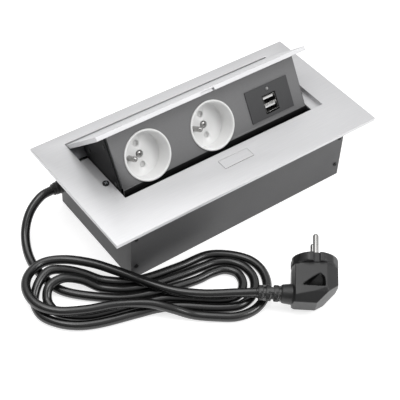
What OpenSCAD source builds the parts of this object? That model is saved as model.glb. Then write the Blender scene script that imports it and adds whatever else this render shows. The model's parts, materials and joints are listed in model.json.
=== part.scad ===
// Flip-up desk socket box: a tray set into a desk top, with a hinged lid that carries the sockets.
// Frame: X along the long side, Y to the hinge side, Z up, origin under the middle of the tray's floor.

/* [Frame] */
// Length of the frame plate
plate_l = 271; // [250:1:300]
// Width of the frame plate
plate_w = 133; // [130:1:140]
// Thickness of the frame plate
plate_t = 3; // [2:0.5:4]
// Height of the frame's top face over the bottom of the tray
plate_top = 67; // [67:1:80]
// Half length of the opening in the frame
open_x = 99; // [99:0.5:102]
// Half length of the recess that the lid closes into
recess_x = 108.5; // [108.5:0.5:110]
// Depth of the ledges at the ends of the recess
recess_d = 4.2; // [4:0.1:5]
// Front edge of the opening
open_front = -26.2; // [-27:0.1:-26]
// Rear edge of the opening
open_rear = 55.6; // [55.6:0.1:56]

/* [Housing] */
// Length of the sheet metal tray
box_l = 227.4; // [225:0.2:232]
// Front face of the tray
box_front = -53; // [-56:1:-52]
// Rear face of the tray
box_rear = 57; // [57:1:60]
// Sheet thickness of the tray
sheet = 1.2; // [1:0.1:1.2]

/* [Flip-up module] */
// Angle that the lid stands open
tilt = 43; // [0:1:43]
// Distance of the hinge axis behind the middle
hinge_y = 46.5; // [46:0.5:47]
// Height of the hinge axis
hinge_z = 49; // [48.5:0.5:49.5]
// Radius of the hinge pins
pin_r = 3; // [2:0.5:3]
// Lean of the socket panel when the lid is shut
panel_lean = 10; // [8:1:11]
// Half length of the socket panel
panel_x = 96.3; // [94:0.1:96.3]
// Thickness of the lid and panel sheet
lid_t = 1.5; // [1:0.5:1.5]
// Height of the lid's turned-down edge
lid_lip = 4; // [3:0.5:4]

/* [Sockets] */
// Places of the two sockets along the panel
socket_xs = [-66.2, 0];
// Distance of the socket centres below the panel's top edge
socket_t = 26.8; // [26:0.1:28]
// Radius of the socket rim
rim_r = 21.9; // [21:0.1:22]
// Radius of the socket recess
well_r = 19.6; // [19:0.1:20]
// Depth of the socket recess
well_d = 15; // [14:0.5:15]
// Distance between the two live holes
hole_gap = 19; // [19:0.5:19.5]
// Radius of a live hole
hole_r = 2.65; // [2.5:0.05:3]

/* [Cord and plug] */
// Radius of the cord
cord_r = 3.9; // [3:0.1:4]
// Radius of the plug's round face
plug_r = 19.5; // [18:0.5:20]
// Length of the plug's pins
plug_pin_l = 19; // [19:0.5:20]
// Radius of the plug's pins
plug_pin_r = 2.4; // [2:0.1:2.4]

/* [Hidden] */
$fn = 64;
eps = 0.01;
plate_under = plate_top - plate_t;
// The tray fits up into a shallow seat in the plate
plate_seat = plate_under + 0.3;
ledge_z = plate_top - recess_d;
ledge_t = 1.5;
ledge_rear = 34;
box_x = box_l / 2;
fit_gap = 0.4;
// The release button and latch
latch_x = 1.5;
button_l = 30;
button_w = 10.2;
button_y = -39.2;
button_h = 2.8;
latch_travel = 2.5;
carriage_z = 57.5;
carriage_t = 2.5;
nose_y = -24.2;
guide_floor = 56.2;
spring_x = 12;
// Screws through the ledges into the hinge brackets
frame_screw_x = 103.4;
frame_screw_ys = [-0.6];
screw_r = 1.75;
screw_head_r = 2.9;
// The hinge
cheek_x = 97.1;
cheek_t = 1.2;
cheek_back = 2.5;
bracket_x = 99.3;
bracket_t = 2;
cover_r = 16.8;
cover_t = 1.2;
lid_rear = 41.5;
lid_front = open_front + fit_gap;
lid_x = recess_x - fit_gap;
// The panel's top edge with the lid shut
panel_y = -18.6;
panel_z = 62.1;
panel_flat = 45;
panel_bend_r = 8;
// The USB insert, in panel coordinates
usb_c = [61.65, 27];
usb_size = [46.3, 28.8];
usb_port_c = [62, 29.8];
usb_port = [13.2, 15.4];
led_c = [62, 16.7];
led_r = 1.5;
earth_x = -10;
socket_floor_t = 2;
shutter_t = 1.6;
// The cord's gland in the left wall
gland_y = 47;
gland_z = 30;
gland_r = 8;
boot_end = -128;
// The plug: the middle of its face, the way its pins point
plug_at = [9.5, -138.5, 25.2];
plug_turn = -38.5;
plug_rise = 17;
neck_back = 31;
neck_l = 27;
neck_end = 47;
// The cord's way down from the gland
cord_drop = [[-128, 47, 30], [-138, 46.8, 29.2], [-149, 44, 24.5], [-157.5, 39, 19], [-165, 31, 12], [-171, 18, 6], [-174, 3, 3.9]];
// The middle and turn of the hank on the floor
hank_at = [-98, -82];
hank_turn = -38.5;
// The cord's rounds in the hank: X along it, Y across it
hank = [
    [-104, 9, 3.9], [-93, -2, 3.9], [-80, -8, 3.9], [-46, -11, 3.9], [-28, -9, 3.9], [-10, -3, 3.9],
    [24, 13, 3.9], [36, 21.5, 3.9], [47, 26, 3.9], [57, 23, 3.9], [62, 12, 3.9], [59, 0, 3.9],
    [49, -6, 3.9], [2, -8, 3.9], [-14, -13, 3.9], [-29, -18.5, 3.9], [-58, -30, 3.9],
    [-73, -31.5, 3.9], [-86, -29, 3.9], [-95, -19.5, 5.5], [-95, -9, 11], [-85, -1, 13],
    [-70, 2, 9], [-54, -1, 4], [-36, -1.5, 3.9], [-18, 3, 3.9], [13, 18.5, 3.9],
    [27, 27, 3.9], [39, 33.5, 3.9], [50, 35, 3.9], [61, 31.5, 3.9], [69.5, 22, 3.9], [72, 10, 3.9], [69, -2, 3.9], [60, -11.5, 3.9],
    [46, -15, 3.9], [10, -16, 3.9], [-6, -19, 3.9], [-22, -25.5, 3.9], [-53, -38, 3.9],
    [-69, -41, 3.9], [-84, -39.5, 3.9], [-98, -33, 3.9], [-106, -18.5, 4], [-104, -4, 10],
    [-97, 6, 13], [-85, 10, 11], [-70, 10, 7.5], [-54, 7.2, 4], [-36, 6.8, 3.9], [-20, 11, 3.9],
    [9, 26.5, 3.9], [35, 42, 3.9], [65, 39.5, 3.9], [77, 29, 3.9], [82, 14, 3.9],
    [80, -2, 3.9], [72, -15, 3.9], [58, -23, 3.9], [40, -24.5, 3.9], [22, -24, 4.5], [5, -23.5, 10],
    [-12, -22, 13], [-38, -24, 12.5], [-62, -31, 12], [-86, -34, 12], [-103, -28, 12.5],
    [-113, -13, 12.5], [-113, 2, 12], [-104, 15, 12], [-88, 20, 12], [-64, 18, 12], [-42, 11, 12],
    [4, -6, 12], [30, -9, 13], [55, -7.8, 14.8]];
function from_hank(p) = [
    hank_at[0] + p[0] * cos(hank_turn) - p[1] * sin(hank_turn),
    hank_at[1] + p[0] * sin(hank_turn) + p[1] * cos(hank_turn), p[2]];
// The end of the strain relief on the plug, where the cord goes in
plug_axis = [sin(-plug_turn) * cos(plug_rise), cos(plug_turn) * cos(plug_rise), sin(plug_rise)];
cord_end = plug_at - neck_back * plug_axis - neck_end * [cos(plug_turn), sin(plug_turn), 0];
cord_route = concat(cord_drop, [for (p = hank) from_hank(p)], [cord_end]);
sheet_gap = 0.02;

// Turns a child from the shut position to the position that the lid stands open at
module flipped() {
    translate([0, hinge_y, hinge_z]) rotate([-tilt, 0, 0]) translate([0, -hinge_y, -hinge_z]) children();
}

// Places a child on the panel: X along it, Y up it, Z out of it, with the origin on its top edge
module on_panel() {
    flipped() translate([0, panel_y, panel_z]) rotate([90 + panel_lean, 0, 0]) children();
}

// Extrudes a side outline, drawn in Y and Z, along X
module along_x(x0, x1) {
    translate([x0, 0, 0]) rotate([90, 0, 90]) linear_extrude(x1 - x0) children();
}

module box_at(from, to) {
    translate(from) cube(to - from);
}

// A cross-head screw at the origin, with its head's seat at zero and its shank below
module cross_screw(head_r, head_h, shank_r, shank_l) {
    difference() {
        union() {
            cylinder(r = head_r, h = head_h);
            translate([0, 0, -shank_l]) cylinder(r = shank_r, h = shank_l + eps);
        }
        for (turn = [0, 90]) rotate([0, 0, turn + 45])
            translate([-head_r * 0.6, -0.35, head_h * 0.4]) cube([head_r * 1.2, 0.7, head_h]);
    }
}

function unit(v) = v / norm(v);
function along(p, i) = unit(p[min(i + 1, len(p) - 1)] - p[max(i - 1, 0)]);
function side_of(d) = unit(cross(d, abs(d[2]) > 0.95 ? [1, 0, 0] : [0, 0, 1]));
function ring_points(p, d, r, sides) = let (u = side_of(d), v = cross(u, d))
    [for (k = [0 : sides - 1]) p + r * (cos(360 * k / sides) * u + sin(360 * k / sides) * v)];
function flatten(rows) = [for (row = rows) each row];

// A round bar swept along a list of points
module swept(p, r, sides) {
    rings = len(p);
    points = flatten([for (i = [0 : rings - 1]) ring_points(p[i], along(p, i), r, sides)]);
    walls = [for (i = [0 : rings - 2], k = [0 : sides - 1])
        let (a = i * sides + k, b = i * sides + (k + 1) % sides) [a, b, b + sides, a + sides]];
    start = [for (k = [sides - 1 : -1 : 0]) k];
    end = [for (k = [0 : sides - 1]) (rings - 1) * sides + k];
    polyhedron(points, concat([start], walls, [end]), convexity = 8);
}

function helix(r, pitch, turns, steps) = [for (i = [0 : turns * steps])
    [r * cos(360 * i / steps), r * sin(360 * i / steps), pitch * i / steps]];

// ---- Fixed pieces ----

module frame_plate() {
    color("gainsboro") difference() {
        union() {
            difference() {
                box_at([-plate_l / 2, -plate_w / 2, plate_under], [plate_l / 2, plate_w / 2, plate_top]);
                box_at([-recess_x, open_front, 0], [recess_x, open_rear, 100]);
                box_at([-box_x - 0.5, box_front - 0.5, 0], [box_x + 0.5, box_rear + 0.5, plate_seat]);
            }
            for (side = [-1, 1]) {
                // The recess wall and the ledge at each end
                box_at([side > 0 ? recess_x : -recess_x - 2, open_front - 1.5, ledge_z - ledge_t],
                    [side > 0 ? recess_x + 2 : -recess_x, open_rear - 0.5, plate_seat + eps]);
                box_at([side > 0 ? open_x : -recess_x - eps, open_front - 1.5, ledge_z - ledge_t],
                    [side > 0 ? recess_x + eps : -open_x, ledge_rear, ledge_z]);
            }
        }
        translate([latch_x, button_y, 0]) linear_extrude(100)
            square([button_l + 0.6, button_w + 0.6], center = true);
        for (side = [-1, 1], y = frame_screw_ys) translate([side * frame_screw_x, y, 0])
            cylinder(r = screw_r + 0.1, h = 100);
    }
}

module housing_shell() {
    color("dimgray") difference() {
        union() {
            box_at([-box_x, box_front + sheet, 0], [box_x, box_rear - sheet, sheet]);
            for (side = [-1, 1]) {
                box_at([side > 0 ? box_x - sheet : -box_x, box_front + sheet, 0],
                    [side > 0 ? box_x : -box_x + sheet, box_rear - sheet, plate_seat]);
                // Flanges that the front and rear panels are screwed to
                for (y = [box_front + sheet, box_rear - 2 * sheet])
                    box_at([side > 0 ? box_x - 11 : -box_x + eps, y, eps],
                        [side > 0 ? box_x - eps : -box_x + 11, y + sheet, plate_under - 4]);
            }
        }
        translate([0, gland_y, gland_z]) rotate([0, -90, 0]) cylinder(r = 6.1, h = 200);
        for (side = [-1, 1], z = [14, 46]) translate([side * (box_x - 5), 0, z]) rotate([90, 0, 0])
            cylinder(r = 1.25, h = 300, center = true);
    }
}

module wall_panel(y) {
    color("dimgray") difference() {
        box_at([-box_x, y, 0], [box_x, y + sheet, plate_seat]);
        for (side = [-1, 1], z = [14, 46]) translate([side * (box_x - 5), 0, z]) rotate([90, 0, 0])
            cylinder(r = 1.25, h = 300, center = true);
    }
}

module housing_front_panel() { wall_panel(box_front); }

module housing_rear_panel() { wall_panel(box_rear - sheet); }

module housing_screws() {
    color("black") for (side = [-1, 1], z = [14, 46]) {
        translate([side * (box_x - 5), box_front, z]) rotate([90, 0, 0]) cross_screw(1.8, 1, 1.2, 4);
        translate([side * (box_x - 5), box_rear, z]) rotate([-90, 0, 0]) cross_screw(1.8, 1, 1.2, 4);
    }
}

module frame_screws() {
    color("black") for (side = [-1, 1], y = frame_screw_ys) translate([side * frame_screw_x, y, ledge_z])
        cross_screw(screw_head_r, 1.2, screw_r, 6);
}

// A plate that hangs from the frame's ledge and carries the hinge pin
module hinge_bracket(side) {
    top = ledge_z - ledge_t;
    color("silver") difference() {
        union() {
            mirror([side < 0 ? 1 : 0, 0, 0]) {
                along_x(bracket_x, bracket_x + bracket_t) polygon([[-18, top], [31, top], [37.5, 57],
                    [52, 55], [52, 43], [40, 41], [-18, 54]]);
                box_at([bracket_x, -18, top - bracket_t], [recess_x, 28, top]);
            }
        }
        translate([side * bracket_x, hinge_y, hinge_z]) rotate([0, 90, 0])
            cylinder(r = pin_r + sheet_gap, h = 20, center = true);
        for (y = frame_screw_ys) translate([side * frame_screw_x, y, 0]) cylinder(r = screw_r + 0.02, h = 100);
    }
}

module hinge_bracket_left() { hinge_bracket(-1); }

module hinge_bracket_right() { hinge_bracket(1); }

module hinge_pins() {
    color("silver") for (side = [-1, 1]) mirror([side < 0 ? 1 : 0, 0, 0])
        translate([0, hinge_y, hinge_z]) rotate([0, 90, 0]) {
            translate([0, 0, 80]) cylinder(r = pin_r, h = bracket_x + bracket_t - 80 + eps);
            translate([0, 0, bracket_x + bracket_t]) cylinder(r = pin_r + 1.5, h = 2);
        }
}

// The fixed round cover over the hinge, with a flange on the rear panel
module hinge_cover() {
    flange = box_rear - 2 * sheet;
    color("silver") {
        along_x(-recess_x + 0.2, recess_x - 0.2) difference() {
            translate([hinge_y, hinge_z]) circle(r = cover_r);
            translate([hinge_y, hinge_z]) circle(r = cover_r - cover_t);
            translate([hinge_y, hinge_z]) polygon([[0, 0], 60 * [cos(125), sin(125)], [-60, -60], [60, -60],
                [60, 60 * tan(61)]]);
        }
        along_x(-106.5, 106.5) translate([flange - sheet, 26]) square([sheet, 37.2]);
    }
}

module torsion_springs() {
    color("silver") for (side = [-1, 1]) mirror([side < 0 ? 1 : 0, 0, 0])
        translate([83, hinge_y, hinge_z]) rotate([0, 90, 0])
            swept(helix(4.4, 1.9, 6, 12), 0.7, 8);
}

// The channel under the frame that the latch slides in
module latch_guide() {
    color("silver") translate([latch_x, 0, 0]) {
        box_at([-16, -48, guide_floor - 1.4], [16, -30, guide_floor]);
        for (side = [-1, 1]) {
            box_at([side > 0 ? 6.5 : -7.7, -48, guide_floor - eps],
                [side > 0 ? 7.7 : -6.5, -46.2, plate_seat]);
            box_at([side > 0 ? 16 : -17.4, -48, guide_floor - 1.4],
                [side > 0 ? 17.4 : -16, -30, plate_seat]);
        }
    }
}

// The sliding bolt: a carriage with a sloped slot, and a nose that enters the lid's notch
module latch_bolt() {
    color("silver") translate([latch_x, 0, 0]) {
        along_x(-6, 6) polygon([[nose_y, 61.6], [nose_y, 63], [nose_y - 0.8, 63.7], [-31, 63.7], [-31, 60],
            [-32.6, 60], [-32.6, carriage_z], [-29.5, carriage_z], [-29.5, 61.6]]);
        along_x(-6, 6) polygon([[-46, carriage_z], [-46, 60], [-37.3, 60], [-34.8, carriage_z]]);
        for (side = [-1, 1]) box_at([side > 0 ? 4 : -6, -38, carriage_z], [side > 0 ? 6 : -4, -32, 60]);
    }
}

module release_button() {
    top = plate_top;
    color("gainsboro") translate([latch_x, 0, 0]) {
        translate([0, button_y, top - button_h]) linear_extrude(button_h)
            square([button_l, button_w], center = true);
        along_x(-3.6, 3.6) polygon([[-41, top - button_h + eps], [-41, 64.2], [-36.2, 59.4],
            [-35.4, 59.4], [-35.4, top - button_h + eps]]);
    }
}

module button_springs() {
    color("silver") for (side = [-1, 1]) translate([latch_x + side * spring_x, button_y, guide_floor + 0.4])
        swept(helix(2, 1.8, 4, 10), 0.35, 6);
}

module cable_gland() {
    outer = -box_x;
    color([0.1, 0.1, 0.1]) translate([0, gland_y, gland_z]) rotate([0, -90, 0]) difference() {
        union() {
            translate([0, 0, -outer]) cylinder(r = gland_r, h = 3);
            translate([0, 0, -outer - 8]) cylinder(r = 6, h = 8 + eps);
            translate([0, 0, -outer + 3 - eps]) cylinder(r1 = 6.4, r2 = 5, h = -boot_end + outer - 3 + eps);
        }
        translate([0, 0, -outer - 9]) cylinder(r = cord_r, h = 9);
    }
}

module gland_nut() {
    color([0.1, 0.1, 0.1]) translate([-box_x + sheet, gland_y, gland_z]) rotate([0, 90, 0]) difference() {
        cylinder(r = 8.3, h = 4, $fn = 6);
        translate([0, 0, -1]) cylinder(r = 6.02, h = 6, $fn = 64);
    }
}

// The clamp on the floor of the tray that holds the lead before it goes to the module
module cord_clamp() {
    color([0.1, 0.1, 0.1]) translate([-88, 41, sheet]) difference() {
        box_at([-8, -12, 0], [8, 12, 12]);
        translate([0, 0, 6]) rotate([0, 90, 0]) cylinder(r = cord_r, h = 40, center = true);
        for (y = [-8.5, 8.5]) translate([0, y, -1]) cylinder(r = 1.6, h = 20);
    }
}

module cord() {
    color([0.08, 0.08, 0.08]) swept(cord_route, cord_r, 8);
}

// Places a child on the plug: Z along its pins, X to its right, Y down, origin on its face
module on_plug() {
    translate(plug_at) rotate([0, 0, plug_turn]) rotate([-90 + plug_rise, 0, 0]) children();
}

module plug_body() {
    color([0.15, 0.15, 0.15]) on_plug() difference() {
        union() {
            translate([0, 0, -8.2]) cylinder(r = plug_r, h = 8.2);
            translate([0, 0, -12]) cylinder(r = plug_r - 3, h = 10);
            intersection() {
                translate([0, 0, -42]) cylinder(r = plug_r - 0.5, h = 33);
                rotate([90, 0, 0]) linear_extrude(40, center = true)
                    polygon([[-20, -42], [0, -42], [20, -23], [20, -9], [-20, -9]]);
                along_x(-20, 20) polygon([[-16, -9], [-16, -36], [-9, -42], [7, -42], [15, -34],
                    [16.4, -13], [16.4, -9]]);
            }
            translate([0, 0, -neck_back]) rotate([0, -90, 0]) cylinder(r1 = 9, r2 = 7.2, h = neck_l);
        }
        for (side = [-1, 1]) {
            translate([0, side * hole_gap / 2, -12]) cylinder(r = plug_pin_r - 0.4, h = 13);
            box_at([side > 0 ? plug_r - 2.6 : -plug_r - 1, -3, -8.8],
                [side > 0 ? plug_r + 1 : -plug_r + 2.6, 3, 1]);
        }
    }
}

module plug_pins() {
    color("silver") on_plug() for (side = [-1, 1]) translate([0, side * hole_gap / 2, 0]) {
        translate([0, 0, -12]) cylinder(r = plug_pin_r - 0.4, h = 12.6);
        translate([0, 0, 0.5]) cylinder(r = plug_pin_r, h = plug_pin_l - 1.5);
        translate([0, 0, plug_pin_l - 1 - eps]) cylinder(r1 = plug_pin_r, r2 = plug_pin_r - 0.8, h = 1);
    }
}

module plug_earth_clips() {
    color("silver") on_plug() for (side = [-1, 1]) mirror([side < 0 ? 1 : 0, 0, 0])
        box_at([plug_r - 2.6, -2, -7.8], [plug_r - 1.6, 2, -0.5]);
}

module plug_strain_relief() {
    color([0.1, 0.1, 0.1]) on_plug() translate([0, 0, -neck_back]) rotate([0, -90, 0]) {
        translate([0, 0, neck_l]) cylinder(r1 = 5.2, r2 = 4.6, h = neck_end - neck_l);
        for (k = [0 : 2]) translate([0, 0, neck_l + 2 + 6.2 * k]) cylinder(r = 6.8 - 0.3 * k, h = 4);
    }
}

// ---- The flip-up module, drawn with the lid shut ----

module lid() {
    color("gainsboro") flipped() difference() {
        union() {
            box_at([-lid_x, lid_front, plate_top - lid_t], [lid_x, lid_rear, plate_top]);
            box_at([-lid_x, lid_front, plate_top - lid_lip], [lid_x, lid_front + lid_t, plate_top]);
            for (side = [-1, 1]) along_x(side > 0 ? lid_x - lid_t : -lid_x, side > 0 ? lid_x : -lid_x + lid_t)
                polygon([[lid_front, plate_top], [lid_front, plate_top - lid_lip],
                    [lid_rear - 6, plate_top - lid_lip], [lid_rear, plate_top - 0.5], [lid_rear, plate_top]]);
        }
        box_at([latch_x - 6.8, lid_front - 1, plate_top - lid_lip - 1],
            [latch_x + 6.8, lid_front + lid_t + eps, plate_top - lid_t]);
    }
}

module latch_keeper() {
    color("gainsboro") flipped()
        box_at([latch_x - 9, lid_front + 2.4, plate_top - lid_lip],
            [latch_x + 9, lid_front + 3.4, plate_top - lid_t]);
}

down = [sin(panel_lean), -cos(panel_lean)];
outward = [-cos(panel_lean), -sin(panel_lean)];
panel_top = [panel_y, panel_z];
bend_c = panel_top + panel_flat * down - panel_bend_r * outward;
module_bottom = bend_c[1] - panel_bend_r;
lid_under = plate_top - lid_t;
// Where the panel meets the underside of the lid
panel_head = [panel_y - (lid_under - panel_z) * tan(panel_lean), lid_under];
cheek_screw_at = [[-11, 56], [-5, 24], [20, 56], [20, 19]];

module cheek_screw_holes() {
    for (p = cheek_screw_at) translate([0, p[0], p[1]]) rotate([0, 90, 0])
        cylinder(r = 1.22, h = 300, center = true);
}

// The panel: a sheet that leans back, then bends round to run under the module
module socket_panel() {
    color("gray") difference() {
        union() {
            flipped() along_x(-panel_x, panel_x) {
                polygon([panel_head, panel_top + panel_flat * down,
                    panel_top + panel_flat * down - lid_t * outward,
                    panel_head + [lid_t / cos(panel_lean), 0]]);
                translate(bend_c) difference() {
                    circle(r = panel_bend_r);
                    circle(r = panel_bend_r - lid_t);
                    polygon([[0, 0], 40 * outward, [-40, 60], [40, 60], [40, -40], [0, -40]]);
                }
                translate([bend_c[0] - eps, module_bottom]) square([23.8 - bend_c[0], lid_t]);
            }
            // Flanges at the ends that the cheeks are screwed to
            flipped() for (x = [-panel_x, panel_x - 1]) along_x(x, x + 1)
                polygon([panel_top + down - outward, panel_top + 44.4 * down - outward,
                    panel_top + 44.4 * down - 11 * outward, panel_top + down - 11 * outward]);
        }
        flipped() cheek_screw_holes();
        on_panel() {
            for (x = socket_xs) translate([x, -socket_t, -5]) cylinder(r = rim_r - 0.9, h = 10);
            translate([usb_c[0], -usb_c[1], 0]) cube([usb_size[0] - 2, usb_size[1] - 2, 20], center = true);
        }
    }
}

// A flat side of the module, with the arm that turns on the hinge pin
module cheek(side) {
    color("dimgray") flipped() mirror([side < 0 ? 1 : 0, 0, 0]) difference() {
        along_x(cheek_x, cheek_x + cheek_t) polygon([panel_head + [cheek_back, 0],
            panel_top + panel_flat * down - cheek_back * outward, bend_c + [0, -panel_bend_r],
            [25.4, module_bottom], [28, 25], [28, 36.4], [44, 43], [50, 44], [50, 54], [44, 55],
            [28, 49.4], [28, lid_under]]);
        translate([cheek_x, hinge_y, hinge_z]) rotate([0, 90, 0])
            cylinder(r = pin_r + 0.06, h = 10, center = true);
        for (p = cheek_screw_at) translate([cheek_x, p[0], p[1]]) rotate([0, 90, 0])
            cylinder(r = 1.3, h = 10, center = true);
    }
}

module left_cheek() { cheek(-1); }

module right_cheek() { cheek(1); }

module cheek_screws() {
    color("black") flipped() for (side = [-1, 1]) mirror([side < 0 ? 1 : 0, 0, 0])
        for (p = cheek_screw_at) translate([cheek_x + cheek_t, p[0], p[1]]) rotate([0, 90, 0])
            cross_screw(1.9, 0.4, 1.2, 3);
}

// The cover that closes the back of the module
module module_back_cover() {
    color("dimgray") flipped() difference() {
        union() {
            box_at([-panel_x, 23.8, module_bottom], [panel_x, 25, lid_under]);
            for (side = [-1, 1]) box_at([side > 0 ? panel_x - 1 : -panel_x, 6, module_bottom + lid_t],
                [side > 0 ? panel_x : -panel_x + 1, 24, lid_under - 2]);
        }
        cheek_screw_holes();
    }
}

// ---- The sockets, in panel coordinates ----

module on_socket(i) {
    on_panel() translate([socket_xs[i], -socket_t, 0]) children();
}

module socket_insert(i) {
    color("whitesmoke") on_socket(i) difference() {
        union() {
            cylinder(r = rim_r, h = 1.2);
            translate([0, 0, -well_d - socket_floor_t])
                cylinder(r = rim_r - 1, h = well_d + socket_floor_t + eps);
        }
        translate([0, 0, -well_d]) cylinder(r = well_r, h = well_d + 2);
        for (side = [-1, 1]) translate([0, side * hole_gap / 2, -30]) cylinder(r = hole_r, h = 40);
        translate([0, 0, -30]) cylinder(r = 1.75, h = 40);
        translate([earth_x, 0, -30]) cylinder(r = plug_pin_r + 0.02, h = 40);
    }
}

module socket_insert_1() { socket_insert(0); }

module socket_insert_2() { socket_insert(1); }

back_front = -well_d - socket_floor_t;
back_depth = 16;

module socket_back(i) {
    color("lightgray") on_socket(i) difference() {
        translate([0, 0, back_front - back_depth]) cylinder(r = rim_r - 1.4, h = back_depth);
        translate([0, 0, back_front - 2.2]) cylinder(r = rim_r - 3, h = 3);
        for (side = [-1, 1]) translate([-4, side * hole_gap / 2 - 4, back_front - back_depth + 2])
            cube([8, 8, back_depth]);
        translate([earth_x, 0, back_front - 12]) cylinder(r = plug_pin_r + 0.02, h = 20);
        translate([0, 0, back_front - 12]) cylinder(r = 1.75, h = 20);
    }
}

module socket_back_1() { socket_back(0); }

module socket_back_2() { socket_back(1); }

module earth_pins() {
    color("silver") for (i = [0, 1]) on_socket(i) translate([earth_x, 0, 0]) {
        translate([0, 0, back_front - 10]) cylinder(r = plug_pin_r, h = 10 + socket_floor_t + 12);
        translate([0, 0, 12 - well_d]) intersection() {
            sphere(r = plug_pin_r);
            cylinder(r = 5, h = 5);
        }
    }
}

// The sleeves behind the live holes
module live_contacts() {
    color("gold") for (i = [0, 1], side = [-1, 1]) on_socket(i)
        translate([0, side * hole_gap / 2, back_front - back_depth + 2]) difference() {
            cylinder(r = 3.8, h = back_depth - 5);
            translate([0, 0, 2]) cylinder(r = plug_pin_r + 0.1, h = back_depth);
            translate([-0.5, -5, 4]) cube([1, 10, back_depth]);
        }
}

module centre_screws() {
    color("silver") for (i = [0, 1]) on_socket(i) translate([0, 0, -well_d])
        cross_screw(2.7, 1.2, 1.7, 12);
}

// The sliding shutter behind a socket's live holes
module shutter(i) {
    color("lightgray") on_socket(i) translate([0, 0, back_front - 0.3 - shutter_t]) difference() {
        translate([-4.2, -12.5, 0]) cube([9.4, 25, shutter_t]);
        translate([-9, -2.4, -1]) cube([12, 4.8, 5]);
    }
}

module shutter_1() { shutter(0); }

module shutter_2() { shutter(1); }

// ---- The USB insert, in panel coordinates ----

module on_usb() {
    on_panel() translate([usb_c[0], -usb_c[1], 0]) children();
}

port_dx = usb_port_c[0] - usb_c[0];
port_dy = usb_c[1] - usb_port_c[1];

module usb_plate() {
    color([0.33, 0.33, 0.33]) on_usb() difference() {
        union() {
            translate([0, 0, 0.4]) cube([usb_size[0], usb_size[1], 0.8], center = true);
            translate([0, 0, -0.9]) cube([usb_size[0] - 2.2, usb_size[1] - 2.2, 1.9], center = true);
        }
        translate([port_dx, port_dy, 0]) cube([usb_port[0] + 1.2, usb_port[1] + 1, 20], center = true);
        translate([led_c[0] - usb_c[0], usb_c[1] - led_c[1], -10]) cylinder(r = led_r + 0.02, h = 20);
    }
}

// Two stacked USB-A ports: a metal shell with a tongue in each port
module usb_connector() {
    depth = 17;
    port = [11.9, 5];
    color("silver") on_usb() translate([port_dx, port_dy, 0]) {
        difference() {
            translate([0, 0, -depth / 2]) cube([usb_port[0], usb_port[1], depth], center = true);
            for (row = [-1, 1]) translate([0, row * 3.8, -4]) cube([port[0], port[1], depth], center = true);
        }
        for (row = [-1, 1]) translate([0, row * 3.8 + 1.2, -6.8]) cube([port[0] - 1, 1.6, 11.6], center = true);
    }
}

module usb_circuit_board() {
    color("green") on_usb() {
        translate([0, 0, -17.8]) cube([40, 24, 1.6], center = true);
        translate([-13, 4, -14.2]) cube([9, 9, 6.02], center = true);
    }
}

module status_led() {
    color("white") on_usb() translate([led_c[0] - usb_c[0], usb_c[1] - led_c[1], 0]) {
        translate([0, 0, -17]) cylinder(r = led_r, h = 17.4);
        translate([0, 0, 0.4]) scale(0.999) intersection() {
            sphere(r = led_r);
            cylinder(r = 3, h = 3);
        }
    }
}

// The terminals on the module's back cover that the lead ends in
module terminal_block() {
    color("lightgray") flipped() difference() {
        translate([-43.5, 13.8, 30]) cube([21, 10, 16]);
        for (x = [-40, -33, -26]) translate([x, 19, 20]) cylinder(r = 1.6, h = 40);
    }
}

frame_plate();
housing_shell();
housing_front_panel();
housing_rear_panel();
housing_screws();
frame_screws();
hinge_bracket_left();
hinge_bracket_right();
hinge_pins();
hinge_cover();
torsion_springs();
latch_guide();
latch_bolt();
release_button();
button_springs();
cable_gland();
gland_nut();
cord_clamp();
cord();
plug_body();
plug_pins();
plug_earth_clips();
plug_strain_relief();
lid();
latch_keeper();
socket_panel();
left_cheek();
right_cheek();
cheek_screws();
module_back_cover();
socket_insert_1();
socket_insert_2();
socket_back_1();
socket_back_2();
earth_pins();
live_contacts();
centre_screws();
shutter_1();
shutter_2();
usb_plate();
usb_connector();
usb_circuit_board();
status_led();
terminal_block();
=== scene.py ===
"""Looks of the flip-up desk socket box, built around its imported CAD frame."""

import json
import math

import bmesh
import bpy
from mathutils import Matrix, Vector

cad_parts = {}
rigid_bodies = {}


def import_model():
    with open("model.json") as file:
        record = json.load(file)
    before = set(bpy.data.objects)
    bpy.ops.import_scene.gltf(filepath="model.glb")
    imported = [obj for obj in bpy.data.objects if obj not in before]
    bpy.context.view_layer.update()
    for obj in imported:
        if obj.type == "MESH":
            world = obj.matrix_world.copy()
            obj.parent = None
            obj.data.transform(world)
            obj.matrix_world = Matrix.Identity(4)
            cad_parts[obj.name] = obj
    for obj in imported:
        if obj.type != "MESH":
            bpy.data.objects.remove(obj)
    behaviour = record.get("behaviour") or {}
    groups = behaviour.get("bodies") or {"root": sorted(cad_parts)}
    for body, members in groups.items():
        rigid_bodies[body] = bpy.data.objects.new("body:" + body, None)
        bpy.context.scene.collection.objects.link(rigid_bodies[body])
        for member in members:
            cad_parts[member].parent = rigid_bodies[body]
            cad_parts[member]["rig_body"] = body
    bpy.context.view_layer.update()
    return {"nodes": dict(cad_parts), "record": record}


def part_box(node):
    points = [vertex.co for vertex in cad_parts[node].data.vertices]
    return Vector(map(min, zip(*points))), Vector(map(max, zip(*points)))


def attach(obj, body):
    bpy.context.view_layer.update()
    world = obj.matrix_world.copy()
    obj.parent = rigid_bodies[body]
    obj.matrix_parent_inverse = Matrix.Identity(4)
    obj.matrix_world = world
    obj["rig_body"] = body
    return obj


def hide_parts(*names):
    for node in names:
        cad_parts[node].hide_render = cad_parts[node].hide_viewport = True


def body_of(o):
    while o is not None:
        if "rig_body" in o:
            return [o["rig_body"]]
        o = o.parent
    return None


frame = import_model()
NODES = frame["nodes"]
RECORD = frame["record"]
SLOT_OF = {row["node"]: row["material_slot"] for row in RECORD["subparts"]}
MOUNTS = {row["name"]: row for row in RECORD["mounts"]}
MM = 0.001


# ---- Camera ----


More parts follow.
